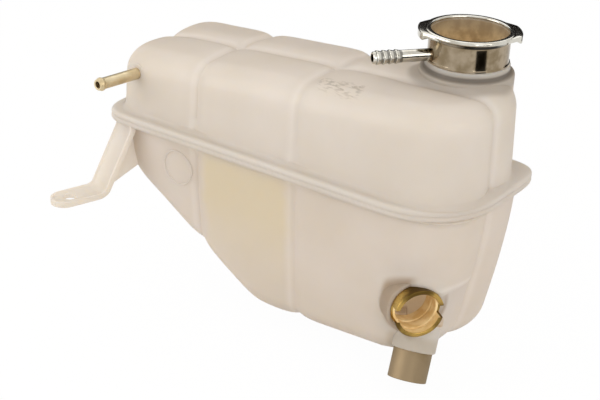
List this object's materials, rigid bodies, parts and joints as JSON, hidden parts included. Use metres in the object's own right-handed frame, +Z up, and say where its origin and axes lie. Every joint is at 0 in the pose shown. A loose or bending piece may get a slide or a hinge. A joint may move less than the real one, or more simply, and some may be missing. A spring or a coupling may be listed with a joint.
{
  "type": "coolant expansion tank",
  "caption": "Welded two-shell coolant expansion tank with a plated filler neck, overflow and vent nipples, level socket, hose outlet and side foot.",
  "frame": {"origin": "centre of the filler mouth, at the top of the neck's bore", "axes": "+X towards the neck end of the tank, -Y towards the side with the level socket and the foot, +Z up along the neck"},
  "size_m": [0.294, 0.1697, 0.2272],
  "materials": {
    "shell_plastic": "translucent moulded polypropylene, satin",
    "plated_metal": "bright nickel-plated",
    "brass_metal": "machined brass",
    "dull_brass": "dull, tan",
    "seal_rubber": "black"
  },
  "bodies": {
    "root": {"upper_shell": "shell_plastic", "lower_shell": "shell_plastic", "filler_neck": "plated_metal", "overflow_nipple": "plated_metal", "vent_nipple": "dull_brass", "level_socket": "brass_metal", "outlet_sleeve": "dull_brass", "neck_seal": "seal_rubber"}
  },
  "joints": []
}
